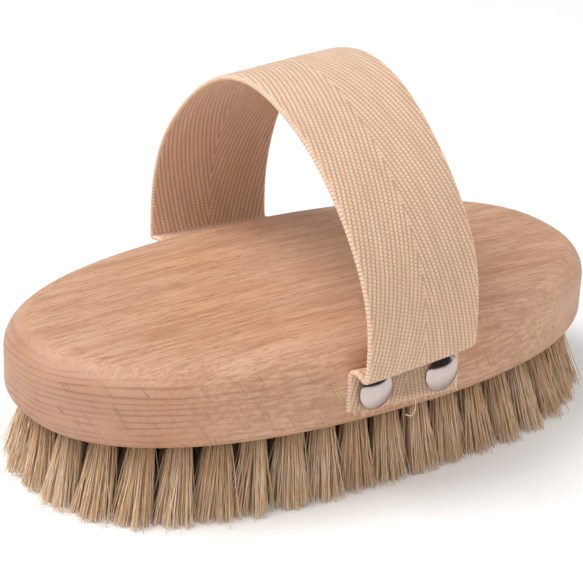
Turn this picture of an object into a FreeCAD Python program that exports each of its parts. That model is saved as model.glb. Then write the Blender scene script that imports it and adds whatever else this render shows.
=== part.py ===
import FreeCAD, Part
import math
import os

# Body dry brush: an oval beech block filled with natural bristle tufts, with a cotton
# webbing hand strap that is tacked to both long sides. Millimetres, +X along the block,
# +Y across it, +Z up. The origin is the centre of the plane that the bristle tips stand on.

# Block
BLOCK_LENGTH = 140.0
BLOCK_WIDTH = 74.0
BLOCK_THICKNESS = 19.4          # at the middle, with the crown
BLOCK_ROUNDNESS = 2.28          # superellipse exponent of the plan; 2 is an ellipse
CROWN = 1.4                     # how much higher the middle of the top is than its rim
TOP_EDGE_RADIUS = 6.6
BOTTOM_EDGE_RADIUS = 4.5

# Bristle tufts
BRISTLE_TRIM = 16.2             # from the underside of the block to the trimmed tips
TUFT_DIAMETER = 4.4             # in its hole
TUFT_SPREAD = 6.4               # diameter at the tips
TUFT_PITCH = 7.7                # along a ring
RING_PITCH = 7.5                # from one ring to the next, before the rings fill the block
RING_INSET = 7.0                # from the edge of the block to the outer ring of holes
TIP_INSET = 0.5                 # from the edge of the block to the outside of the tips
TIP_ROUNDNESS = 2.68            # the trimmed face is squarer in plan than the block
TUFT_WALL = 0.6                 # least wood between the middle row and the ring around it
HOLE_WALL = 1.0                 # wood left between the tuft holes and the tack shanks

# Anchors, the flat wire that holds each folded tuft in its hole
ANCHOR_THICKNESS = 0.4
ANCHOR_DEPTH = 2.0
ANCHOR_BITE = 0.4               # how far each end is driven into the wall of the hole
FOLD_THICKNESS = 1.0            # bristle between the anchor and the bottom of the hole

# Hand strap
STRAP_WIDTH = 29.0
STRAP_THICKNESS = 1.15
HAND_ROOM = 43.4                # from the top of the block to the underside of the strap
CROWN_HANDLE = 18.0             # how flat the strap runs over the hand
LEG_HANDLE = 30.0               # how straight the strap rises at the sides
FLAP_MARGIN = 0.65              # strap end below the tack heads
PLEAT_GAP = 0.05                # strap above the tack heads before it turns out
PLEAT_INNER_RADIUS = 0.4
CREASE_INNER_RADIUS = 0.3
PLEAT_DROOP = 20.0              # degrees that the pleat slopes down on its way out
HINGE_GAP = 0.3                 # between the fixed end and the strap that leans

# Tacks
TACK_HEIGHT = 8.8               # tack axis above the underside of the block
TACK_HEAD_DIAMETER = 8.3
TACK_HEAD_HEIGHT = 1.7
TACK_EDGE = 2.0                 # from a tack head to the edge of the strap
CAP_THICKNESS = 0.4
NAIL_HEAD_DIAMETER = 6.0
SHANK_DIAMETER = 1.6
SHANK_LENGTH = 13.0
POINT_LENGTH = 3.0

# Worked out from the sizes above
HALF_LENGTH = BLOCK_LENGTH / 2
HALF_WIDTH = BLOCK_WIDTH / 2
UNDERSIDE = BRISTLE_TRIM
BLOCK_TOP = UNDERSIDE + BLOCK_THICKNESS
TACK_Z = UNDERSIDE + TACK_HEIGHT
TACK_HEAD_RADIUS = TACK_HEAD_DIAMETER / 2
TACK_X = STRAP_WIDTH / 2 - TACK_EDGE - TACK_HEAD_RADIUS
TACK_SEAT = HALF_WIDTH + STRAP_THICKNESS
HOLE_DEPTH = TACK_HEIGHT - SHANK_DIAMETER / 2 - HOLE_WALL
STRAP_TOP = BLOCK_TOP + HAND_ROOM + STRAP_THICKNESS
HINGE_PLANE = TACK_SEAT + TACK_HEAD_HEIGHT + HINGE_GAP / 2

OUTLINE_POINTS = 48
ARCH_POINTS = 13
FAR = 20.0                      # how far cutting tools reach past what they cut

Vector = FreeCAD.Vector


def superellipse(half_length, half_width, exponent, z):
    """A closed smooth curve where |x / half_length|^n + |y / half_width|^n is 1."""
    points = []
    for step in range(OUTLINE_POINTS):
        angle = 2 * math.pi * step / OUTLINE_POINTS
        c, s = math.cos(angle), math.sin(angle)
        x = half_length * math.copysign(abs(c) ** (2 / exponent), c)
        y = half_width * math.copysign(abs(s) ** (2 / exponent), s)
        points.append(Vector(x, y, z))
    curve = Part.BSplineCurve()
    curve.interpolate(Points=points, PeriodicFlag=True)
    return curve


def prism(curve, height):
    return Part.Face(Part.Wire(curve.toShape())).extrude(Vector(0, 0, height))


# ---------------------------------------------------------------- block

def above_crown():
    """Everything above the crowned top, whose height falls with x and y squared."""
    reach_x, reach_y = HALF_LENGTH + FAR, HALF_WIDTH + FAR
    fall_x = CROWN * (reach_x / (HALF_LENGTH - TOP_EDGE_RADIUS)) ** 2
    fall_y = CROWN * (reach_y / (HALF_WIDTH - TOP_EDGE_RADIUS)) ** 2
    surface = Part.BezierSurface()
    surface.increase(2, 2)
    for row, side_x in enumerate((-1, 0, 1)):
        for column, side_y in enumerate((-1, 0, 1)):
            # the middle pole of a parabola is as far above its top as its ends are below
            fall = fall_x * (1 if side_x else -1) + fall_y * (1 if side_y else -1)
            pole = Vector(side_x * reach_x, side_y * reach_y, BLOCK_TOP - fall)
            surface.setPole(row + 1, column + 1, pole)
    return surface.toShape().extrude(Vector(0, 0, 4 * FAR))


def bare_block():
    outline = superellipse(HALF_LENGTH, HALF_WIDTH, BLOCK_ROUNDNESS, UNDERSIDE)
    body = prism(outline, BLOCK_THICKNESS).cut(above_crown())
    middle = UNDERSIDE + BLOCK_THICKNESS / 2
    rim = [e for e in body.Edges if e.BoundBox.ZMin > middle]
    body = body.makeFillet(TOP_EDGE_RADIUS, rim)
    foot = [e for e in body.Edges if e.BoundBox.ZMax < UNDERSIDE + 0.01]
    return body.makeFillet(BOTTOM_EDGE_RADIUS, foot)


# ---------------------------------------------------------------- tufts and anchors

def tip_stretch():
    """How much longer and wider the trimmed face is than the field of holes."""
    reach = TIP_INSET + TUFT_SPREAD / 2
    return ((HALF_LENGTH - reach) / (HALF_LENGTH - RING_INSET),
            (HALF_WIDTH - reach) / (HALF_WIDTH - RING_INSET))


def ring_places(inset):
    """(root, tip) points of each tuft of the ring whose holes are inset this far."""
    half_length, half_width = HALF_LENGTH - inset, HALF_WIDTH - inset
    stretch_x, stretch_y = tip_stretch()
    roots = superellipse(half_length, half_width, BLOCK_ROUNDNESS, UNDERSIDE)
    tips = superellipse(half_length * stretch_x, half_width * stretch_y, TIP_ROUNDNESS, 0)
    count = 2 * round(roots.length() / TUFT_PITCH / 2)
    pairs = zip(roots.discretize(Number=count + 1), tips.discretize(Number=count + 1))
    return list(pairs)[:-1]


def centre_places(inset):
    """(root, tip) points of the straight row of tufts inside the ring that is inset this far."""
    half_length, half_width = HALF_LENGTH - inset, HALF_WIDTH - inset
    narrowest = (TUFT_DIAMETER + TUFT_WALL) / half_width
    reach = half_length * (1 - narrowest ** BLOCK_ROUNDNESS) ** (1 / BLOCK_ROUNDNESS)
    each_side = int(reach / TUFT_PITCH)
    places = []
    for number in range(-each_side, each_side + 1):
        x = number * TUFT_PITCH
        places.append((Vector(x, 0, UNDERSIDE), Vector(x * tip_stretch()[0], 0, 0)))
    return places


def tuft_places():
    """The places of every tuft, by the name of its ring, from the outside in."""
    room = HALF_WIDTH - RING_INSET
    count = round(room / RING_PITCH)
    insets = [RING_INSET + number * room / count for number in range(count)]
    rings = {f"ring_{number + 1}": ring_places(inset) for number, inset in enumerate(insets)}
    rings["centre_row"] = centre_places(insets[-1])
    return rings


def anchor(root):
    """The flat wire across one hole, with its ends driven into the wood."""
    length = TUFT_DIAMETER + 2 * ANCHOR_BITE
    low = UNDERSIDE + HOLE_DEPTH - FOLD_THICKNESS - ANCHOR_DEPTH
    corner = Vector(root.x - length / 2, root.y - ANCHOR_THICKNESS / 2, low)
    return Part.makeBox(length, ANCHOR_THICKNESS, ANCHOR_DEPTH, corner)


def plug(root):
    """What a tuft fills of its hole."""
    return Part.makeCylinder(TUFT_DIAMETER / 2, HOLE_DEPTH, root)


def tuft(root, tip):
    """A folded bundle: straight in its hole, spreading and leaning out to the trimmed tips."""
    circles = [Part.Circle(root, Vector(0, 0, 1), TUFT_DIAMETER / 2),
               Part.Circle(tip, Vector(0, 0, 1), TUFT_SPREAD / 2)]
    spread = Part.makeLoft([Part.Wire(c.toShape()) for c in circles], True, True)
    return spread.fuse(plug(root)).removeSplitter().cut(anchor(root))


# ---------------------------------------------------------------- strap

def walk(y, z, heading, length, turn):
    """Where a step of this length leads that turns this many degrees to the left."""
    start, end = math.radians(heading), math.radians(heading + turn)
    if turn:
        radius = length / (end - start)
        y += radius * (math.sin(end) - math.sin(start))
        z -= radius * (math.cos(end) - math.cos(start))
    else:
        y += length * math.cos(start)
        z += length * math.sin(start)
    return y, z, heading + turn


def beside(y, z, heading, offset):
    """The point this far to the left of a place on the strap's middle line."""
    angle = math.radians(heading)
    return Vector(0, y - offset * math.sin(angle), z + offset * math.cos(angle))


def band(here, steps):
    """The edge-on face of the strap along these steps from here, and where they end.
    A place is (y, z, heading), and a step is (length, degrees turned to the left)."""
    half = STRAP_THICKNESS / 2
    edges = [Part.makeLine(beside(*here, half), beside(*here, -half))]
    for length, turn in steps:
        halfway = walk(*here, length / 2, turn / 2)
        end = walk(*here, length, turn)
        for offset in (half, -half):
            points = [beside(*place, offset) for place in (here, halfway, end)]
            if turn:
                edges.append(Part.Arc(*points).toShape())
            else:
                edges.append(Part.makeLine(points[0], points[2]))
        here = end
    edges.append(Part.makeLine(beside(*here, half), beside(*here, -half)))
    return Part.Face(Part.Wire(Part.__sortEdges__(edges))), here


def pleat_start():
    """Where the strap has passed the tack heads and starts to turn out."""
    return HALF_WIDTH + STRAP_THICKNESS / 2, TACK_Z + TACK_HEAD_RADIUS + PLEAT_GAP, 90


def pleat_steps():
    """From its turn away from the block, over the tack heads, to its crease."""
    half = STRAP_THICKNESS / 2
    turn = 90 + PLEAT_DROOP
    bend = ((PLEAT_INNER_RADIUS + half) * math.radians(turn), -turn)
    crease = ((CREASE_INNER_RADIUS + half) * math.radians(turn), turn)
    y = walk(*pleat_start(), *bend)[0]
    run = (HINGE_PLANE + HINGE_GAP / 2 - y) / math.cos(math.radians(PLEAT_DROOP))
    return [bend, (run, 0), crease]


def widen(face):
    """A face in the YZ plane at x = 0 made as wide as the strap."""
    solid = face.extrude(Vector(STRAP_WIDTH, 0, 0))
    solid.translate(Vector(-STRAP_WIDTH / 2, 0, 0))
    return solid


def strap_foot():
    """Where the strap leaves its crease and rises over the hand."""
    return band(pleat_start(), pleat_steps())[1]


def arch():
    """The strap over the hand, from the crease on one side to the crease on the other."""
    half = STRAP_THICKNESS / 2
    foot_y, foot_z, _ = strap_foot()
    top = STRAP_TOP - half
    quarter = Part.BezierCurve()
    quarter.setPoles([Vector(0, 0, top), Vector(0, CROWN_HANDLE, top),
                      Vector(0, foot_y, foot_z + LEG_HANDLE), Vector(0, foot_y, foot_z)])
    outer, inner = [], []
    for step in range(ARCH_POINTS):
        share = step / (ARCH_POINTS - 1)
        middle, along = quarter.value(share), quarter.tangent(share)[0]
        outward = Vector(0, -along.z, along.y)
        outer.append(middle + outward * half)
        inner.append(middle - outward * half)
    edges = []
    for points in (outer, inner):
        curve = Part.BSplineCurve()
        curve.interpolate(Points=[Vector(0, -p.y, p.z) for p in points[:0:-1]] + points)
        edges.append(curve.toShape())
    for side in (-1, 1):
        edges.append(Part.makeLine(Vector(0, side * outer[-1].y, outer[-1].z),
                                   Vector(0, side * inner[-1].y, inner[-1].z)))
    return widen(Part.Face(Part.Wire(Part.__sortEdges__(edges))))


def outside(y):
    """A box that holds everything further out than y on the +Y side."""
    size = 4 * HALF_LENGTH
    return Part.makeBox(size, size, size, Vector(-size / 2, y, -size / 2))


def mirrored(shape):
    return shape.mirror(Vector(0, 0, 0), Vector(0, 1, 0))


def hand_strap():
    """The strap that leans: the arch and the crease at each end of it."""
    crease = widen(band(pleat_start(), pleat_steps())[0])
    crease = crease.common(outside(HINGE_PLANE + HINGE_GAP / 2))
    return arch().fuse([crease, mirrored(crease)]).removeSplitter()


def rear_strap_end(nails):
    """The tacked flap on the +Y side and the start of its pleat."""
    y, z, up = pleat_start()
    low = TACK_Z - TACK_HEAD_RADIUS - FLAP_MARGIN
    flap = [(z - low, 0)]
    end = widen(band((y, low, up), flap + pleat_steps())[0])
    end = end.cut(outside(HINGE_PLANE - HINGE_GAP / 2))
    # the block's side curves away from the strap towards both of its edges
    backing = Part.makeBox(STRAP_WIDTH, BOTTOM_EDGE_RADIUS, z - low,
                           Vector(-STRAP_WIDTH / 2, HALF_WIDTH - BOTTOM_EDGE_RADIUS, low))
    outline = superellipse(HALF_LENGTH, HALF_WIDTH, BLOCK_ROUNDNESS, UNDERSIDE)
    return end.fuse(backing).cut(prism(outline, BLOCK_THICKNESS + FAR)).cut(nails)


# ---------------------------------------------------------------- tacks

def head_sphere_centre():
    """How far below its seat the centre of a tack head's outer sphere is, and its radius."""
    height = TACK_HEAD_HEIGHT
    radius = (TACK_HEAD_RADIUS ** 2 + height ** 2) / (2 * height)
    return radius - height, radius


def rear_tack(x):
    """The cap and the nail of one tack on the +Y side."""
    below, radius = head_sphere_centre()
    centre = Vector(x, TACK_SEAT - below, TACK_Z)
    ahead = outside(TACK_SEAT)
    inner = Part.makeSphere(radius - CAP_THICKNESS, centre)
    cap = Part.makeSphere(radius, centre).cut(inner).common(ahead)
    seat = Vector(x, TACK_SEAT, TACK_Z)
    head = Part.makeCylinder(NAIL_HEAD_DIAMETER / 2, TACK_HEAD_HEIGHT, seat, Vector(0, 1, 0))
    straight = SHANK_LENGTH - POINT_LENGTH
    shank = Part.makeCylinder(SHANK_DIAMETER / 2, straight, seat, Vector(0, -1, 0))
    point = Part.makeCone(SHANK_DIAMETER / 2, 0, POINT_LENGTH,
                          seat - Vector(0, straight, 0), Vector(0, -1, 0))
    nail = head.common(inner).fuse([shank, point]).removeSplitter()
    return cap, nail


# ---------------------------------------------------------------- whole brush

def brush():
    """Every piece, by the name of its node."""
    pieces = {}
    rear = {"left": rear_tack(-TACK_X), "right": rear_tack(TACK_X)}
    tacks = {f"rear_{side}": pair for side, pair in rear.items()}
    for side, pair in rear.items():
        tacks[f"front_{side}"] = tuple(mirrored(piece) for piece in pair)
    rear_nails = [tacks["rear_left"][1], tacks["rear_right"][1]]
    front_nails = [tacks["front_left"][1], tacks["front_right"][1]]

    rear_end = rear_strap_end(rear_nails)
    pieces["strap_rear_end"] = rear_end
    pieces["strap_front_end"] = mirrored(rear_end)
    pieces["hand_strap"] = hand_strap()
    for place, (cap, nail) in tacks.items():
        pieces[f"{place}_tack_cap"] = cap
        pieces[f"{place}_tack_nail"] = nail

    holes = []
    for name, places in tuft_places().items():
        anchors = [anchor(root) for root, tip in places]
        tufts = [tuft(root, tip) for root, tip in places]
        pieces[f"{name}_tufts"] = Part.makeCompound(tufts)
        pieces[f"{name}_anchors"] = Part.makeCompound(anchors)
        holes += [plug(root).fuse(wire) for (root, tip), wire in zip(places, anchors)]
    pieces["wooden_block"] = bare_block().cut(holes + rear_nails + front_nails)
    return pieces


def main():
    os.makedirs("parts", exist_ok=True)
    for name, shape in brush().items():
        if not shape.isValid():
            raise ValueError(f"{name} isn't a valid shape")
        shape.exportStep(f"parts/{name}.step")


main()
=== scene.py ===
import math

import bmesh
import bpy
import numpy as np
from mathutils import Matrix, Vector


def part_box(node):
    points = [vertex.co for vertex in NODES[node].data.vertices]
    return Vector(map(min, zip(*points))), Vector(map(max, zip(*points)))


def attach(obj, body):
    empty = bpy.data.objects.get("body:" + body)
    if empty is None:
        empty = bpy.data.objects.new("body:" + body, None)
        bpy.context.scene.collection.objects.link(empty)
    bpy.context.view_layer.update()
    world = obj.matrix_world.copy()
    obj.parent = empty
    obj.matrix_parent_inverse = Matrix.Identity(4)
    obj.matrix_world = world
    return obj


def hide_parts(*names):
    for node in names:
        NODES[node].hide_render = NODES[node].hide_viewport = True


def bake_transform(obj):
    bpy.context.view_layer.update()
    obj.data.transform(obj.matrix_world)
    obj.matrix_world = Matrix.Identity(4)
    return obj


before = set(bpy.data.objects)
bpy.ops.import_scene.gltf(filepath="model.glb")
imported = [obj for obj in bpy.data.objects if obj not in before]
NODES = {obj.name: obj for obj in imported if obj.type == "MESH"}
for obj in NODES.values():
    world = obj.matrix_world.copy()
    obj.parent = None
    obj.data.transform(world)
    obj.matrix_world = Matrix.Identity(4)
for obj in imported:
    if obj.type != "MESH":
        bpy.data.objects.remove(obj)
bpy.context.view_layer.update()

# The body dry brush as it looks: an oiled beech block, tufts of light natural bristle made
# hair by hair, a herringbone cotton strap with its pleats, and nickel dome tacks.
# Metres, in the CAD frame: +X along the block, +Y across it, +Z up, bristle tips at z = 0.

MM = 0.001

FRONT, REAR = -1, 1
STRAP_BODY, BRUSH_BODY = "strap", "brush"


# ---------------------------------------------------------------- shader building

def new_material(name):
    """A material with its node tree and its Principled shader."""
    made = bpy.data.materials.new(name)
    made.use_nodes = True
    return made, made.node_tree, made.node_tree.nodes["Principled BSDF"]


def put(tree, socket, value):
    """Links a socket into another, or sets its value."""
    if isinstance(value, bpy.types.NodeSocket):
        tree.links.new(value, socket)
    else:
        socket.default_value = value


def add(tree, kind, values=(), **settings):
    """A shader node with its settings, and its inputs by name or number."""
    made = tree.nodes.new("ShaderNode" + kind)
    for name, value in settings.items():
        setattr(made, name, value)
    for name, value in dict(values).items():
        put(tree, made.inputs[name], value)
    return made


def calc(tree, operation, *values, clamp=False):
    """The result of a Math node."""
    made = add(tree, "Math", dict(enumerate(values)), operation=operation, use_clamp=clamp)
    return made.outputs[0]


def mix(tree, share, first, second):
    """A colour between two colours."""
    made = tree.nodes.new("ShaderNodeMix")
    made.data_type = "RGBA"
    for number, value in ((0, share), (6, first), (7, second)):
        put(tree, made.inputs[number], value)
    return made.outputs[2]


def ramp(tree, value, *stops):
    """A colour ramp through (position, (red, green, blue)) stops."""
    made = add(tree, "ValToRGB", {0: value})
    elements = made.color_ramp.elements
    while len(elements) < len(stops):
        elements.new(0.5)
    for element, (position, colour) in zip(elements, stops):
        element.position = position
        element.color = (*colour, 1)
    return made.outputs[0]


def between(tree, value, low, high):
    """0 below low, 1 above high, and smooth between them."""
    made = add(tree, "MapRange", {0: value, 1: low, 2: high}, interpolation_type="SMOOTHSTEP")
    return made.outputs[0]


def noise(tree, place, size, detail=2.0, roughness=0.5, stretch=(1, 1, 1)):
    """Soft noise whose lumps are about this size, times stretch along each axis."""
    scale = tuple(1 / (size * s) for s in stretch)
    shrunk = add(tree, "Mapping", {"Vector": place, "Scale": scale})
    made = add(tree, "TexNoise", {"Vector": shrunk.outputs[0], "Scale": 1.0,
                                  "Detail": detail, "Roughness": roughness})
    return made.outputs[0]


def bump(tree, shader, height, depth):
    """Bends the shader's normal by a height from 0 to 1 that stands for this depth."""
    made = add(tree, "Bump", {"Height": height, "Distance": depth, "Strength": 1.0})
    tree.links.new(made.outputs[0], shader.inputs["Normal"])


def dress(obj, material):
    """Gives a piece this one material."""
    obj.data.materials.clear()
    obj.data.materials.append(material)


# ---------------------------------------------------------------- beech

GROWTH_RING = 1.35 * MM
RAY_LEAN = 0.55                 # how far the rays lean along X for each step down
WOOD_SLOPE_X, WOOD_SLOPE_Y = 0.045, 0.10        # of the growth layers against the flat
WOOD_WANDER, WOOD_JITTER = 3.2 * MM, 2.4 * MM   # slow and quick rise and fall of a layer
WOOD_SHADES = ((0.34, (0.605, 0.360, 0.242)), (0.50, (0.560, 0.312, 0.200)),
               (0.66, (0.535, 0.265, 0.150)))
GRAIN_PALE = (0.665, 0.420, 0.275, 1)
GRAIN_DARK = (0.400, 0.205, 0.115, 1)
OILED_END = (0.33, 0.170, 0.115, 1)
LATE_WOOD = (0.32, 0.145, 0.085, 1)
RAY_DARK = (0.30, 0.130, 0.072, 1)
SPECK_DARK = (0.30, 0.135, 0.072, 1)
WOOD_RELIEF = 0.035 * MM        # depth of the open grain


def beech():
    """Oiled beech as a solid: growth layers lie nearly flat, and rays stand across them."""
    made, tree, shader = new_material("beech")
    coordinates = add(tree, "TexCoord")
    place = coordinates.outputs["Object"]
    x, y, z = add(tree, "SeparateXYZ", {0: place}).outputs
    facing = add(tree, "SeparateXYZ", {0: coordinates.outputs["Normal"]}).outputs
    upright = calc(tree, "ABSOLUTE", facing[2])
    lengthwise = calc(tree, "ABSOLUTE", facing[0])
    side = between(tree, upright, 0.93, 0.45)
    end_grain = between(tree, lengthwise, 0.06, 0.60)
    oiled = between(tree, lengthwise, 0.30, 0.90)

    wander = noise(tree, place, 30 * MM, detail=1.0, stretch=(2.5, 1, 1))
    uneven = noise(tree, place, 3.0 * MM, detail=1.0, stretch=(12, 12, 1))
    height = calc(tree, "MULTIPLY_ADD", x, WOOD_SLOPE_X,
                  calc(tree, "MULTIPLY_ADD", y, WOOD_SLOPE_Y, z))
    height = calc(tree, "MULTIPLY_ADD", wander, WOOD_WANDER, height)
    height = calc(tree, "MULTIPLY_ADD", uneven, WOOD_JITTER, height)
    turn = calc(tree, "MULTIPLY", height, 2 * math.pi / GROWTH_RING)
    wave = calc(tree, "MULTIPLY_ADD", calc(tree, "COSINE", turn), 0.5, 0.5)
    late = calc(tree, "POWER", wave, 5.0)
    cut_across = calc(tree, "MULTIPLY_ADD", between(tree, x, -12 * MM, -60 * MM), 0.66, 0.20)
    patchy = between(tree, noise(tree, place, 6 * MM, detail=1.0, stretch=(2, 1, 1)), 0.20, 0.60)
    shown = calc(tree, "MULTIPLY_ADD", calc(tree, "MULTIPLY", side, cut_across), 0.95, 0.05)
    ring = calc(tree, "MULTIPLY", late, calc(tree, "MULTIPLY", patchy, shown))

    broad = noise(tree, place, 17 * MM, stretch=(3.0, 1, 1))
    bands = noise(tree, place, 2.6 * MM, detail=1.0, stretch=(15, 1, 2))
    fine = noise(tree, place, 0.55 * MM, detail=3.0, stretch=(24, 1, 1.4))
    dashes = noise(tree, place, 0.21 * MM, detail=0.5, stretch=(13, 1, 1))
    leaning = add(tree, "CombineXYZ", {0: calc(tree, "MULTIPLY_ADD", z, RAY_LEAN, x), 1: y, 2: z})
    rays = noise(tree, leaning.outputs[0], 0.24 * MM, detail=0.5, stretch=(1, 12, 28))
    specks = calc(tree, "MULTIPLY", between(tree, dashes, 0.585, 0.72),
                  calc(tree, "MULTIPLY_ADD", side, -0.55, 1.0))
    flecks = calc(tree, "MULTIPLY", between(tree, rays, 0.685, 0.74), side)

    colour = ramp(tree, broad, *WOOD_SHADES)
    streak = calc(tree, "MULTIPLY_ADD", bands, 0.30, calc(tree, "MULTIPLY", fine, 0.70))
    grain = mix(tree, between(tree, streak, 0.39, 0.61), GRAIN_PALE, GRAIN_DARK)
    colour = mix(tree, calc(tree, "MULTIPLY_ADD", end_grain, -0.40, 0.50), colour, grain)
    colour = mix(tree, calc(tree, "MULTIPLY", oiled, 0.34), colour, OILED_END)
    colour = mix(tree, calc(tree, "MULTIPLY", ring, 0.80), colour, LATE_WOOD)
    colour = mix(tree, calc(tree, "MULTIPLY", flecks, 0.62), colour, RAY_DARK)
    colour = mix(tree, calc(tree, "MULTIPLY", specks, 0.60), colour, SPECK_DARK)
    tree.links.new(colour, shader.inputs["Base Color"])

    worn = noise(tree, place, 6 * MM)
    gloss = add(tree, "MapRange", {0: worn, 1: 0.3, 2: 0.7, 3: 0.46, 4: 0.58})
    tree.links.new(gloss.outputs[0], shader.inputs["Roughness"])
    shader.inputs["Specular IOR Level"].default_value = 0.40
    grooves = calc(tree, "MAXIMUM", flecks, specks)
    relief = calc(tree, "SUBTRACT", fine, calc(tree, "MULTIPLY", grooves, 0.9))
    bump(tree, shader, relief, WOOD_RELIEF)
    return made


# ---------------------------------------------------------------- bristle

HAIRS = 200                     # in each tuft
HAIR_JOINTS = 5                 # rings of points along a hair
HAIR_RADIUS = 0.122 * MM
HAIR_TAPER = 0.62               # tip radius as a share of root radius
HAIR_SWAY = 0.26 * MM           # sideways curve of a hair
HAIR_DEPTH = 2.5 * MM           # how far hairs start inside the tuft hole
TUFT_ROOT_RADIUS = 2.15 * MM
TUFT_TIP_RADIUS = 4.6 * MM
TRIM_SHARE = 0.74               # of that radius which the outer ring keeps on its outside
TRIM_LEAN = 2.5 * MM            # lean of a tuft from which it is trimmed in full
TRIM_UNEVEN = 0.22 * MM         # how unevenly the tips are cut
SHORT_SHARE, SHORT_BY = 0.04, 1.1 * MM          # hairs that end short
STRAY_SHARE = 0.08              # hairs that stand out from their tuft
SHADES = 64                     # hair colours, side by side across the hair's UV map
WISPS = 13                      # bunches that the hairs of a tuft gather into
BAKE_MAP = "OFBake"
HAIR_SHADES = ((0.0, (0.36, 0.205, 0.100)), (0.16, (0.60, 0.370, 0.190)),
               (0.40, (0.76, 0.500, 0.285)), (0.66, (0.84, 0.600, 0.380)),
               (0.86, (0.88, 0.675, 0.475)), (1.0, (0.93, 0.780, 0.620)))
HAIR_BLOTCH = (0.66, 0.42, 0.23, 1)
HAIR_COOL = (0.84, 0.68, 0.56, 1)
# painted shade: hair colour darkened towards the roots, where the tufts shade each other
PAINTED_ROOT_SHADE = (0.30, 0.155, 0.075, 1)
HAIR_TIP = (0.86, 0.72, 0.57, 1)


def bristle():
    """Light natural bristle. The UV map runs across the shades and up from root to tip."""
    made, tree, shader = new_material("bristle")
    across, along, _ = add(tree, "SeparateXYZ", {
        0: add(tree, "UVMap", uv_map=BAKE_MAP).outputs[0]}).outputs
    shade = ramp(tree, across, *HAIR_SHADES)
    spot = add(tree, "CombineXYZ", {0: calc(tree, "MULTIPLY", across, float(SHADES)),
                                    1: calc(tree, "MULTIPLY", along, 7.0)}).outputs[0]
    blotch = noise(tree, spot, 1.0, detail=1.0)
    shade = mix(tree, between(tree, blotch, 0.45, 0.75), shade, HAIR_BLOTCH)
    cool = noise(tree, spot, 3.0, detail=0.0)
    shade = mix(tree, calc(tree, "MULTIPLY", between(tree, cool, 0.5, 0.7), 0.5),
                shade, HAIR_COOL)
    # Painted shade: the hairs grow darker towards the root, where the tufts shade each other.
    root = between(tree, along, 0.55, 0.0)
    shade = mix(tree, calc(tree, "MULTIPLY", root, 0.60), shade, PAINTED_ROOT_SHADE)
    tip = between(tree, along, 0.80, 1.0)
    shade = mix(tree, calc(tree, "MULTIPLY", tip, 0.35), shade, HAIR_TIP)
    tree.links.new(shade, shader.inputs["Base Color"])
    shader.inputs["Roughness"].default_value = 0.46
    shader.inputs["Specular IOR Level"].default_value = 0.55
    return made


def tuft_ends(node):
    """(middle of the root, middle of the tip) of every tuft in a CAD node."""
    solid = bmesh.new()
    solid.from_mesh(node.data)
    bmesh.ops.remove_doubles(solid, verts=solid.verts, dist=1e-6)
    solid.verts.ensure_lookup_table()
    seen, ends = set(), []
    for first in solid.verts:
        if first.index in seen:
            continue
        seen.add(first.index)
        queue, points = [first], []
        while queue:
            vertex = queue.pop()
            points.append(vertex.co.copy())
            for edge in vertex.link_edges:
                other = edge.other_vert(vertex)
                if other.index not in seen:
                    seen.add(other.index)
                    queue.append(other)
        points = np.array(points)
        top, low = points[:, 2].max(), points[:, 2].min()
        root = points[points[:, 2] > top - 1e-5].mean(0)
        tip = points[points[:, 2] < low + 1e-5].mean(0)
        ends.append((root, tip))
    solid.free()
    return sorted(ends, key=lambda pair: math.atan2(pair[0][1], pair[0][0]))


def hair_paths(root, tip, random):
    """Points along every hair of one tuft, as an array of hairs x joints x 3."""
    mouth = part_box("wooden_block")[0].z
    reach, angle = random.random(HAIRS) ** 0.45, random.random(HAIRS) * 2 * math.pi
    disc = np.stack([reach * np.cos(angle), reach * np.sin(angle)], 1)
    start = root[:2] + disc * TUFT_ROOT_RADIUS
    spread = disc * TUFT_TIP_RADIUS * random.normal(1.0, 0.10, (HAIRS, 1))
    spread += random.normal(0, 0.30 * MM, (HAIRS, 2))
    wisp = random.normal(0, 0.55 * TUFT_TIP_RADIUS, (WISPS, 2))
    nearest = ((spread[:, None] - wisp[None]) ** 2).sum(2).argmin(1)
    spread += (wisp[nearest] - spread) * random.uniform(0.05, 0.42, (HAIRS, 1))
    stray = random.random(HAIRS) < STRAY_SHARE
    spread[stray] *= random.uniform(1.1, 1.5, (stray.sum(), 1))
    leaning = np.linalg.norm(tip[:2] - root[:2])
    outward = (tip[:2] - root[:2]) / max(leaning, 1e-6)
    lean = min(leaning / TRIM_LEAN, 1)
    past = np.maximum(spread @ outward, 0) * (1 - TRIM_SHARE) * lean
    end = tip[:2] + spread - past[:, None] * outward
    share = np.linspace(0, 1, HAIR_JOINTS)[None, :, None]
    path = start[:, None] + (end - start)[:, None] * share ** 1.12
    sway = random.normal(0, HAIR_SWAY, (HAIRS, 1, 2))
    path = path + sway * np.sin(share * math.pi * random.uniform(0.8, 2.2, (HAIRS, 1, 1)))
    trim = np.abs(random.normal(0, TRIM_UNEVEN, HAIRS))
    trim[random.random(HAIRS) < SHORT_SHARE] += SHORT_BY
    top = mouth + HAIR_DEPTH
    height = top + (tip[2] + trim - top)[:, None] * share[..., 0]
    return np.concatenate([path, height[..., None]], 2)


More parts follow.
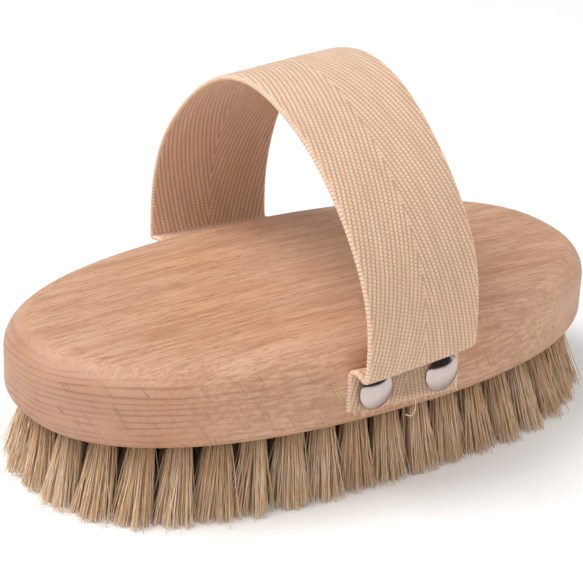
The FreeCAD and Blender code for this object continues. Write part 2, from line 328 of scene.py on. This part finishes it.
def tubes(paths, radii, shades, sides=3):
    """Vertices, faces and UVs of a thin tapering tube along every path."""
    hairs, joints, _ = paths.shape
    along = np.gradient(paths, axis=1)
    along /= np.linalg.norm(along, axis=2, keepdims=True)
    side = np.cross(along, np.array([1.0, 0.35, 0.1]))
    side /= np.linalg.norm(side, axis=2, keepdims=True)
    other = np.cross(along, side)
    turn = np.linspace(0, 2 * math.pi, sides, endpoint=False)
    ring = (side[:, :, None] * np.cos(turn)[None, None, :, None]
            + other[:, :, None] * np.sin(turn)[None, None, :, None])
    points = paths[:, :, None] + ring * radii[:, :, None, None]
    first = (np.arange(hairs) * joints * sides)[:, None, None]
    joint = (np.arange(joints - 1) * sides)[None, :, None]
    corner = np.arange(sides)[None, None, :]
    after = (corner + 1) % sides
    low, high = first + joint, first + joint + sides
    faces = np.stack([low + corner, low + after, high + after, high + corner], 3)
    step = 1 / (joints - 1)
    up = np.broadcast_to((np.arange(joints - 1) * step)[None, :, None], faces.shape[:3])
    width = 0.35 / SHADES
    left = np.broadcast_to((shades[:, None, None] + 0.5) / SHADES - width / 2, faces.shape[:3])
    u = np.stack([left, left + width, left + width, left], 3)
    v = np.stack([up, up, up + step, up + step], 3)
    return (points.reshape(-1, 3), faces.reshape(-1, 4),
            np.stack([u, v], 4).reshape(-1, 2))


def mesh_object(name, points, faces, uvs=None, uv_name=BAKE_MAP, smooth=True):
    """An object from arrays of points and of four-cornered faces, with a UV map."""
    mesh = bpy.data.meshes.new(name)
    mesh.from_pydata(points.tolist(), [], faces.tolist())
    if uvs is not None:
        mesh.uv_layers.new(name=uv_name).data.foreach_set("uv", uvs.astype(np.float32).ravel())
    mesh.polygons.foreach_set("use_smooth", [smooth] * len(mesh.polygons))
    mesh.update()
    made = bpy.data.objects.new(name, mesh)
    bpy.context.scene.collection.objects.link(made)
    return made


def hair_ring(node_name, material, seed):
    """The hairs of every tuft in one CAD ring, as one piece."""
    random = np.random.default_rng(seed)
    parts, offset = [], 0
    for root, tip in tuft_ends(NODES[node_name]):
        paths = hair_paths(root, tip, random)
        taper = np.linspace(1.0, HAIR_TAPER, HAIR_JOINTS)[None] * HAIR_RADIUS
        radii = taper * random.uniform(0.75, 1.3, (HAIRS, 1))
        tone = random.normal(0.52, 0.09)
        shades = np.clip(random.normal(tone, 0.16, HAIRS), 0, 0.999) * SHADES
        points, faces, uvs = tubes(paths, radii, shades.astype(int))
        parts.append((points, faces + offset, uvs))
        offset += len(points)
    points, faces, uvs = (np.concatenate(part) for part in zip(*parts))
    hair = mesh_object(node_name.replace("tufts", "hair"), points, faces, uvs)
    dress(hair, material)
    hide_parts(node_name)
    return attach(hair, BRUSH_BODY)


# ---------------------------------------------------------------- strap

RIB = 1.025 * MM                # from one rib of the herringbone to the next
RIB_ANGLE = math.radians(12.5)  # that the ribs lean from the strap's length
THREAD = 0.75 * MM              # from one crossing to the next along a rib
SELVEDGE = 0.55 * MM
SCALLOP = 0.85 * MM
NAILED_END = 8.5 * MM           # at each end, pressed to the wood, with painted shadow from the pleat above
WEAVE_MAP = "weave"
YARN_SHADES = ((0.35, (0.705, 0.480, 0.330)), (0.65, (0.800, 0.565, 0.405)))
# painted shade down in the grooves between the ribs
PAINTED_GROOVE_SHADE = (0.440, 0.270, 0.180, 1)
YARN_EDGE = (0.80, 0.62, 0.49, 1)
YARN_FUZZ = (0.88, 0.70, 0.55, 1)
# painted shadow on the nailed flaps under the pleat
PAINTED_FLAP_SHADOW = (0.250, 0.150, 0.100, 1)
WEAVE_RELIEF = 0.15 * MM
THREAD_DARK, THREAD_PALE = (0.62, 0.43, 0.31, 1), (0.90, 0.73, 0.58, 1)


def webbing(length):
    """Herringbone cotton. Its UV map is in millimetres: across from the middle, and along."""
    made, tree, shader = new_material("webbing")
    flat = add(tree, "UVMap", uv_map=WEAVE_MAP).outputs[0]
    across, along, _ = add(tree, "SeparateXYZ", {0: flat}).outputs
    out = calc(tree, "ABSOLUTE", across)
    waver = noise(tree, flat, 3.0, detail=1.0)
    slant = calc(tree, "MULTIPLY_ADD", along, math.sin(RIB_ANGLE),
                 calc(tree, "MULTIPLY", out, math.cos(RIB_ANGLE)))
    rib = calc(tree, "DIVIDE", calc(tree, "MULTIPLY_ADD", waver, 0.22, slant), RIB / MM)
    number = calc(tree, "FLOOR", rib)
    rise = calc(tree, "SINE", calc(tree, "MULTIPLY", calc(tree, "FRACT", rib), math.pi))
    shifted = calc(tree, "MULTIPLY_ADD", number, 0.5,
                   calc(tree, "DIVIDE", along, THREAD / MM))
    bead = calc(tree, "SINE", calc(tree, "MULTIPLY", calc(tree, "FRACT", shifted), math.pi))
    weave = calc(tree, "MULTIPLY", calc(tree, "POWER", rise, 0.6),
                 calc(tree, "MULTIPLY_ADD", calc(tree, "POWER", bead, 0.8), 0.62, 0.38))
    edge = between(tree, out, (HALF_STRAP - SELVEDGE) / MM - 0.15,
                   (HALF_STRAP - SELVEDGE) / MM + 0.15)
    loop = calc(tree, "ABSOLUTE", calc(tree, "SINE", calc(
        tree, "MULTIPLY", along, math.pi * MM / SCALLOP)))
    loop = calc(tree, "MULTIPLY_ADD", calc(tree, "POWER", loop, 0.7), 0.75, 0.2)
    height = add(tree, "Mix", {0: edge, 2: weave, 3: loop}).outputs[0]
    fuzz = noise(tree, flat, 0.24, detail=2.0)
    yarn = noise(tree, flat, 4.0, detail=3.0, stretch=(0.5, 3, 1))

    ridge = ramp(tree, yarn, *YARN_SHADES)
    # Painted shade: the colour darkens from the ridges down into the grooves.
    colour = mix(tree, between(tree, height, 0.10, 0.85), PAINTED_GROOVE_SHADE, ridge)
    colour = mix(tree, calc(tree, "MULTIPLY", edge, 0.30), colour, YARN_EDGE)
    colour = mix(tree, calc(tree, "MULTIPLY", between(tree, fuzz, 0.48, 0.8), 0.25),
                 colour, YARN_FUZZ)
    # Painted shadow: the nailed flaps under the pleat are darkened, most of all in the grooves.
    end, side, fold = length / 2 / MM, HALF_STRAP / MM, NAILED_END / MM
    from_middle = calc(tree, "ABSOLUTE", calc(tree, "SUBTRACT", along, end))
    past_fold = between(tree, from_middle, end - fold - 1.5, end - fold)
    off_cut = between(tree, from_middle, end - 0.3, end - 2.2)
    off_selvedge = between(tree, out, side - 1.0, side - 3.2)
    shadowed_flap = calc(tree, "MULTIPLY", past_fold, calc(tree, "MULTIPLY", off_cut, off_selvedge))
    shadow_depth = calc(tree, "MULTIPLY_ADD", between(tree, height, 0.85, 0.10), 0.25, 0.42)
    colour = mix(tree, calc(tree, "MULTIPLY", shadowed_flap, shadow_depth), colour, PAINTED_FLAP_SHADOW)
    tree.links.new(colour, shader.inputs["Base Color"])
    shader.inputs["Roughness"].default_value = 0.86
    shader.inputs["Specular IOR Level"].default_value = 0.25
    shader.inputs["Sheen Weight"].default_value = 0.15
    shader.inputs["Sheen Roughness"].default_value = 0.5
    shader.inputs["Subsurface Weight"].default_value = 0.30
    shader.inputs["Subsurface Radius"].default_value = (1.5, 0.45, 0.15)
    shader.inputs["Subsurface Scale"].default_value = 1.0 * MM
    bump(tree, shader, calc(tree, "MULTIPLY_ADD", fuzz, 0.15, height), WEAVE_RELIEF)
    return made


def cotton_thread():
    """Loose cotton yarn at the cut edges."""
    made, tree, shader = new_material("cotton_thread")
    place = add(tree, "TexCoord").outputs["Object"]
    twist = noise(tree, place, 0.25 * MM, detail=2.0)
    tree.links.new(mix(tree, twist, THREAD_DARK, THREAD_PALE), shader.inputs["Base Color"])
    shader.inputs["Roughness"].default_value = 0.9
    bump(tree, shader, twist, 0.05 * MM)
    return made


STRAP_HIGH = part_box("hand_strap")[1]
FLAP_LOW, FLAP_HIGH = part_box("strap_rear_end")
CAP_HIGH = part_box("rear_right_tack_cap")[1]
BLOCK_LOW, BLOCK_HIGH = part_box("wooden_block")
BLOCK_ROUNDNESS = 2.28          # exponent of the block's plan outline

HALF_STRAP = STRAP_HIGH.x
CLOTH = 1.10 * MM               # thickness of the webbing
BEND_RADIUS = 0.975 * MM        # middle line of the pleat's upper bend
CREASE_RADIUS = 0.80 * MM       # middle line of the crease under the leg
DROOP = math.radians(20)        # slope of the pleat between the bend and the crease
ROW = 0.22 * MM                 # from one row of the cloth's points to the next
COLUMNS = 25                    # points across each face of the cloth
ARC_POINTS = 30                 # on each bend of the pleat
SLOW_WAVE, SLOW_WAVE_PERIOD = 0.16 * MM, 9 * MM         # of the cloth's edges, over 2 pi
QUICK_WAVE, QUICK_WAVE_PERIOD = 0.20 * MM, 6 * MM
EDGE_DROOP = 0.16 * MM
SCALLOP_DEPTH = 0.27 * MM       # of the selvedge's loops
FOLD_EASE = 4 * MM              # length over which the skew of the leg sets in
REAR_SHIFT = 2.7 * MM           # how far the crown of the arch sits behind the middle
FRONT_TWIST, REAR_TWIST = 0.45 * MM, -1.8 * MM      # along Y at the edge, at the creases
FRONT_FULLNESS = 1.5 * MM       # how far the front leg bows out half way up
CREASE_RISE, CROWN_RISE = 0.40 * MM, 0.85 * MM
FRONT_TILT, REAR_TILT, CROWN_TILT = 0.85 * MM, 0.40 * MM, 1.50 * MM     # up at the +X edge
FLAP_GATHER, LEG_GATHER = 0.045, 0.022      # share of its width that the front pleat takes
FLAP_SLANT = 0.60 * MM          # the front cut edge is lower at its +X end
CROWN_HANDLE = 18 * MM          # pulls of the curve at the arch's top and foot
LEG_HANDLE = 30 * MM


def rear_half_line():
    """The strap's middle line from the rear flap's cut edge to the crown, as (y, z)."""
    seat = BLOCK_HIGH.y + CLOTH / 2 + 0.02 * MM
    bend_z = CAP_HIGH.z + 0.05 * MM
    line = [(seat, z) for z in np.arange(FLAP_LOW.z, bend_z, 0.1 * MM)]
    turn = math.radians(90) + DROOP
    middle = seat + BEND_RADIUS
    for angle in np.linspace(0, turn, ARC_POINTS):
        line.append((middle - BEND_RADIUS * math.cos(angle),
                     bend_z + BEND_RADIUS * math.sin(angle)))
    leg = STRAP_HIGH.y - CLOTH / 2
    y, z = line[-1]
    crease_y = leg - CREASE_RADIUS
    start_y = crease_y - CREASE_RADIUS * math.sin(DROOP)
    for share in np.linspace(0.05, 1, 15):
        step = share * (start_y - y)
        line.append((y + step, z - step * math.tan(DROOP)))
    y, z = line[-1]
    crease_z = z + CREASE_RADIUS * math.cos(DROOP)
    for angle in np.linspace(0, turn, ARC_POINTS)[1:]:
        a = -math.pi / 2 - DROOP + angle
        line.append((crease_y + CREASE_RADIUS * math.cos(a),
                     crease_z + CREASE_RADIUS * math.sin(a)))
    top = STRAP_HIGH.z - CLOTH / 2
    ends = ((leg, crease_z), (leg, crease_z + LEG_HANDLE), (CROWN_HANDLE, top), (0, top))
    for t in np.linspace(0, 1, 400)[1:]:
        weights = ((1 - t) ** 3, 3 * (1 - t) ** 2 * t, 3 * (1 - t) * t * t, t ** 3)
        line.append(tuple(sum(w * p[i] for w, p in zip(weights, ends)) for i in (0, 1)))
    return np.array(line)


def strap_line():
    """(places, distances) of the strap's middle line, front cut edge to rear, at even steps."""
    rear = rear_half_line()
    front = rear * (-1, 1)
    whole = np.concatenate([front, rear[-2::-1]])
    travelled = np.concatenate([[0], np.cumsum(np.linalg.norm(np.diff(whole, axis=0), axis=1))])
    even = np.linspace(0, travelled[-1], int(travelled[-1] / ROW))
    places = np.stack([np.interp(even, travelled, whole[:, i]) for i in (0, 1)], 1)
    return places, even


def smooth_step(value, low, high):
    """0 below low, 1 above high, and smooth between them, for arrays."""
    share = np.clip((value - low) / (high - low), 0, 1)
    return share * share * (3 - 2 * share)


def strap_cloth(material, places, distance):
    """The whole strap as one closed sheet of webbing, from one cut edge to the other."""
    length = distance[-1]
    along = np.gradient(places, axis=0)
    along /= np.linalg.norm(along, axis=1, keepdims=True)
    outward = np.stack([-along[:, 1], along[:, 0]], 1)

    half = CLOTH / 2
    flat = np.linspace(-1, 1, COLUMNS) * (HALF_STRAP - half)
    round_edge = np.linspace(0, math.pi, 5)[1:-1]
    section = [(x, half) for x in flat]
    section += [(flat[-1] + half * math.sin(a), half * math.cos(a)) for a in round_edge]
    section += [(x, -half) for x in flat[::-1]]
    section += [(flat[0] - half * math.sin(a), -half * math.cos(a)) for a in round_edge]
    section = np.array(section)

    across = np.broadcast_to(section[None, :, 0], (len(places), len(section))).copy()
    lift = np.broadcast_to(section[None, :, 1], across.shape).copy()
    at = distance[:, None]
    share = across / HALF_STRAP
    scallop = np.abs(np.sin(math.pi * at / SCALLOP)) ** 0.6 - 0.5
    rim = smooth_step(np.abs(share), 0.955, 1.0)
    across += np.sign(across) * rim * scallop * SCALLOP_DEPTH
    lift += SLOW_WAVE * np.sin(at / SLOW_WAVE_PERIOD + 1.3) * share
    lift += QUICK_WAVE * np.sin(at / QUICK_WAVE_PERIOD + 2.0 * share) * share ** 2
    lift -= EDGE_DROOP * share ** 4
    cut = smooth_step(np.minimum(at, length - at), 0, 0.5 * MM)
    lift *= 0.45 + 0.55 * cut

    y = places[:, None, 0] + outward[:, None, 0] * lift
    z = places[:, None, 1] + outward[:, None, 1] * lift
    flap = CAP_HIGH.z - FLAP_LOW.z
    from_end = np.minimum(at, length - at)
    loose = smooth_step(from_end, flap, flap + FOLD_EASE)
    rear = smooth_step(at, 0.4 * length, 0.6 * length)
    up = np.clip((places[:, None, 1] - CAP_HIGH.z) / (STRAP_HIGH.z - CAP_HIGH.z), 0, 1)
    twist = FRONT_TWIST * (1 - rear) + REAR_TWIST * rear
    tilt = FRONT_TILT * (1 - rear) + REAR_TILT * rear
    bulge = np.sin(up * math.pi / 2) ** (4.0 - 2.9 * rear)
    bow = FRONT_FULLNESS * (1 - rear) * np.sin(up * math.pi)
    y = y + loose * (REAR_SHIFT * bulge - bow + twist * share * (1 - up))
    z = z + loose * (CREASE_RISE * (1 - up) + CROWN_RISE * up)
    z = z + loose * share * (tilt * (1 - up) + CROWN_TILT * up ** 3)
    z = z - FLAP_SLANT * share * (1 - smooth_step(at, 0, 0.8 * flap))
    on_leg = smooth_step(at, flap, flap + FOLD_EASE)
    across = across - FLAP_GATHER * (1 - on_leg) * (across + HALF_STRAP)
    fading = on_leg * (1 - rear) * (1 - smooth_step(up, 0.2, 0.8))
    across = across - LEG_GATHER * fading * (across - HALF_STRAP)
    inside = 1 - np.abs(across / BLOCK_HIGH.x) ** BLOCK_ROUNDNESS
    block_side = BLOCK_HIGH.y * inside ** (1 / BLOCK_ROUNDNESS)
    on_block = 1 - smooth_step(from_end, flap * 0.9, flap + 1.5 * MM)
    y = y - np.sign(y) * on_block * (BLOCK_HIGH.y - block_side)

    points = np.stack([across, y, z], 2)
    rows, ring = points.shape[:2]
    first = (np.arange(rows - 1) * ring)[:, None]
    here = np.arange(ring)[None]
    after = (here + 1) % ring
    faces = np.stack([first + here, first + after, first + ring + after, first + ring + here], 2)
    u = np.broadcast_to(section[None, :, 0], across.shape) / MM
    v = np.broadcast_to(at, across.shape) / MM
    flat_uv = np.stack([u, v], 2).reshape(-1, 2)
    cloth = mesh_object("strap_webbing", points.reshape(-1, 3), faces.reshape(-1, 4),
                        flat_uv[faces.reshape(-1)], WEAVE_MAP)
    close_ends(cloth, ring)
    dress(cloth, material)
    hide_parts("hand_strap", "strap_front_end", "strap_rear_end")
    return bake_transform(cloth)


def close_ends(cloth, ring):
    """Fills the two cut edges of the cloth, whose first and last rings are open."""
    shape = bmesh.new()
    shape.from_mesh(cloth.data)
    shape.verts.ensure_lookup_table()
    last = len(shape.verts) - ring
    for low in (0, last):
        loop = [shape.verts[low + number] for number in range(ring)]
        for number in range(ring // 2 - 1):
            corners = (loop[number], loop[number + 1], loop[-number - 2], loop[-number - 1])
            if len(set(corners)) == 4:
                shape.faces.new(corners)
    bmesh.ops.recalc_face_normals(shape, faces=shape.faces)
    shape.to_mesh(cloth.data)
    shape.free()


FRAY_SEED = 41
FRAYED = 110                    # loose ends along each cut edge
THREAD_JOINTS = 7
PULLED_RADIUS = 0.17 * MM


def loose_threads(material):
    """The frayed cut edges of both flaps, and one pulled thread that hangs at the front."""
    random = np.random.default_rng(FRAY_SEED)
    joints, paths, radii = THREAD_JOINTS, [], []
    share = np.linspace(0, 1, joints)[:, None]
    for side in (FRONT, REAR):
        for _ in range(FRAYED):
            x = random.uniform(-0.97, 0.93) * HALF_STRAP
            slant = -FLAP_SLANT * x / HALF_STRAP if side == FRONT else 0
            start = np.array([x, side * (BLOCK_HIGH.y + random.uniform(0.15, 0.95) * CLOTH),
                              FLAP_LOW.z + slant + 0.35 * MM])
            lean = np.array([random.normal(0, 0.45), side * random.uniform(-0.05, 0.6), -1.0])
            curl = random.normal(0, 0.35 * MM, 3) * (1, 0.4, 0.5)
            reach = random.uniform(0.5, 1.25) * MM
            paths.append(start + lean * reach * share + curl * share ** 2)
            radii.append(np.linspace(1.0, 0.5, joints) * random.uniform(0.045, 0.085) * MM)
    turn = np.linspace(0, 1, joints)
    pulled = np.stack([2.2 * MM - 2.9 * MM * turn ** 1.4,
                       -BLOCK_HIGH.y - 0.8 * MM - 1.5 * MM * np.sin(turn * 2.6),
                       FLAP_LOW.z + 0.2 * MM - 3.1 * MM * np.sin(turn * 2.0)], 1)
    paths.append(pulled)
    radii.append(np.full(joints, PULLED_RADIUS))
    paths, radii = np.array(paths), np.array(radii)
    points, faces, _ = tubes(paths, radii, np.zeros(len(paths)), sides=5)
    threads = mesh_object("strap_loose_threads", points, faces)
    dress(threads, material)
    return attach(threads, BRUSH_BODY)


# ---------------------------------------------------------------- metal

NICKEL_PALE, NICKEL_CLOUD = (0.59, 0.500, 0.475, 1), (0.50, 0.420, 0.400, 1)
CAP_TURNS = 64                  # points around a dome
CAP_RINGS = 16                  # from its rim to its crown


def nickel():
    """Polished nickel plate with faint handling marks."""
    made, tree, shader = new_material("nickel")
    place = add(tree, "TexCoord").outputs["Object"]
    cloud = noise(tree, place, 1.2 * MM, detail=3.0)
    colour = mix(tree, cloud, NICKEL_PALE, NICKEL_CLOUD)
    tree.links.new(colour, shader.inputs["Base Color"])
    shader.inputs["Metallic"].default_value = 1.0
    marks = noise(tree, place, 0.12 * MM, detail=2.0, stretch=(5, 1, 1))
    rough = add(tree, "MapRange", {0: marks, 1: 0.3, 2: 0.8, 3: 0.07, 4: 0.18})
    tree.links.new(rough.outputs[0], shader.inputs["Roughness"])
    bump(tree, shader, marks, 0.004 * MM)
    return made


def wire_steel(name, colour, roughness):
    """Drawn steel with fine lines along it."""
    made, tree, shader = new_material(name)
    place = add(tree, "TexCoord").outputs["Object"]
    lines = noise(tree, place, 0.08 * MM, stretch=(14, 1, 1))
    darker = tuple(0.7 * part for part in colour)
    tree.links.new(mix(tree, lines, (*colour, 1), (*darker, 1)), shader.inputs["Base Color"])
    shader.inputs["Metallic"].default_value = 1.0
    shader.inputs["Roughness"].default_value = roughness
    bump(tree, shader, lines, 0.01 * MM)
    return made


def tack_cap(node_name, material):
    """A stamped dome with a rolled rim, turned about the tack's own axis."""
    low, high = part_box(node_name)
    side = REAR if low.y > 0 else FRONT
    centre = (low + high) / 2
    seat = low.y if side == REAR else high.y
    radius, rise = (high.x - low.x) / 2, high.y - low.y
    skirt, corner = 0.16 * rise, 0.20 * rise
    crown = rise - skirt - 0.5 * corner
    inner = radius - 0.35 * corner
    sphere = (inner ** 2 + crown ** 2) / (2 * crown)
    profile = [(radius - 1.2 * corner, 0.0), (radius - 0.15 * corner, 0.0), (radius, 0.1 * skirt),
               (radius, skirt), (radius - 0.08 * corner, skirt + 0.28 * corner)]
    for share in np.linspace(0.0, 1.0, CAP_RINGS):
        r = inner * (1 - share)
        profile.append((r, math.sqrt(sphere ** 2 - r ** 2) - (sphere - rise)))
    turns = CAP_TURNS
    points, faces = [], []
    for r, out in profile:
        for number in range(turns):
            a = 2 * math.pi * number / turns
            points.append((centre.x + r * math.cos(a), seat + side * out,
                           centre.z + r * math.sin(a)))
    for row in range(len(profile) - 1):
        for number in range(turns):
            after = (number + 1) % turns
            corners = (row * turns + number, row * turns + after,
                       (row + 1) * turns + after, (row + 1) * turns + number)
            faces.append(corners if side == FRONT else corners[::-1])
    cap = mesh_object(node_name.replace("_cap", "_dome"), np.array(points), np.array(faces))
    shape = bmesh.new()
    shape.from_mesh(cap.data)
    bmesh.ops.remove_doubles(shape, verts=shape.verts, dist=1e-7)
    shape.to_mesh(cap.data)
    shape.free()
    dress(cap, material)
    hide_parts(node_name)
    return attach(cap, BRUSH_BODY)


# ---------------------------------------------------------------- floor, light, camera

CAMERA_AZIMUTH = math.radians(-34.18)
CAMERA_ELEVATION = math.radians(24.33)
CAMERA_ROLL = math.radians(2.22)
CAMERA_DISTANCE = 489.2 * MM
CAMERA_AIM = Vector((6.76 * MM, 20.56 * MM, BLOCK_LOW.z + 5.2 * MM))
LENS = 131.8
SENSOR = 36.0
SHIFT_X, SHIFT_Y = 0.0205, -0.0077
FLOOR_SIDE = 8.0
LAMP_AIM = Vector((0, 0, 0.03))
SKY_GLOW, DARK_GLOW = 0.64, 0.04


def floor():
    """The plain pale floor that the brush stands on."""
    bpy.ops.mesh.primitive_plane_add(size=FLOOR_SIDE)
    ground = bpy.context.object
    ground.name = "floor"
    made, tree, shader = new_material("floor")
    place = add(tree, "TexCoord").outputs["Object"]
    tint = mix(tree, noise(tree, place, 0.25), (0.94, 0.94, 0.94, 1), (0.96, 0.96, 0.955, 1))
    tree.links.new(tint, shader.inputs["Base Color"])
    shader.inputs["Roughness"].default_value = 0.8
    dress(ground, made)


def area_light(name, place, size, power, colour, mirrored=True):
    """A square lamp that faces the brush; mirrored says whether metal reflects it."""
    data = bpy.data.lights.new(name, "AREA")
    data.energy, data.size, data.color = power, size, colour
    lamp = bpy.data.objects.new(name, data)
    lamp.location = place
    lamp.rotation_euler = (LAMP_AIM - lamp.location).to_track_quat("-Z", "Y").to_euler()
    lamp.visible_glossy = mirrored
    bpy.context.scene.collection.objects.link(lamp)


def studio():
    """A white light tent with a dark room in front of it, under soft lamps."""
    world = bpy.data.worlds.new("studio")
    world.use_nodes = True
    tree = world.node_tree
    _, y, z = add(tree, "SeparateXYZ", {0: add(tree, "TexCoord").outputs["Generated"]}).outputs
    below_top = between(tree, z, 0.88, 0.78)
    front = calc(tree, "MULTIPLY", between(tree, z, -0.01, 0.03), between(tree, y, -0.38, -0.52))
    back = calc(tree, "MULTIPLY", between(tree, z, 0.30, 0.38), between(tree, y, 0.42, 0.56))
    dark = calc(tree, "MULTIPLY", calc(tree, "ADD", front, back), below_top)
    glow = calc(tree, "MULTIPLY_ADD", dark, DARK_GLOW - SKY_GLOW, SKY_GLOW)
    sky = tree.nodes["Background"]
    sky.inputs["Color"].default_value = (1.0, 0.995, 0.985, 1)
    tree.links.new(glow, sky.inputs["Strength"])
    bpy.context.scene.world = world
    area_light("key", (-0.60, 0.29, 1.02), 0.8, 11.9, (1.0, 0.99, 0.97))
    area_light("front", (-0.20, -0.85, 0.75), 0.8, 4.6, (1.0, 0.99, 0.98), mirrored=False)
    area_light("side", (1.0, -0.45, 0.40), 0.7, 2.6, (0.92, 0.96, 1.0), mirrored=False)
    bpy.context.scene.view_settings.view_transform = "Standard"


def camera():
    """The camera, in front of the brush to its left and above it."""
    data = bpy.data.cameras.new("camera")
    data.lens, data.sensor_width = LENS, SENSOR
    data.shift_x, data.shift_y = SHIFT_X, SHIFT_Y
    data.clip_start, data.clip_end = 0.02, 20
    made = bpy.data.objects.new("camera", data)
    bpy.context.scene.collection.objects.link(made)
    flat = math.cos(CAMERA_ELEVATION)
    back = Vector((math.sin(CAMERA_AZIMUTH) * flat, -math.cos(CAMERA_AZIMUTH) * flat,
                   math.sin(CAMERA_ELEVATION)))
    made.location = CAMERA_AIM + back * CAMERA_DISTANCE
    level = back.to_track_quat("Z", "Y").to_matrix()
    roll = Matrix.Rotation(CAMERA_ROLL, 3, "Z")
    made.rotation_euler = (level @ roll).to_euler()
    bpy.context.scene.camera = made


# ---------------------------------------------------------------- the whole brush

def main():
    """Makes every piece, then the floor, the lights and the camera."""
    dress(NODES["wooden_block"], beech())
    hair = bristle()
    rings = [name for name in sorted(NODES) if name.endswith("_tufts")]
    for seed, name in enumerate(rings):
        hair_ring(name, hair, seed)
    places, distance = strap_line()
    strap_cloth(webbing(distance[-1]), places, distance)
    loose_threads(cotton_thread())
    plate = nickel()
    nail = wire_steel("nail", (0.60, 0.60, 0.60), 0.3)
    wire = wire_steel("anchor_wire", (0.62, 0.62, 0.60), 0.35)
    for name in sorted(NODES):
        if name.endswith("_cap"):
            tack_cap(name, plate)
        elif name.endswith("_nail"):
            dress(NODES[name], nail)
        elif name.endswith("_anchors"):
            dress(NODES[name], wire)
    floor()
    studio()
    camera()


main()
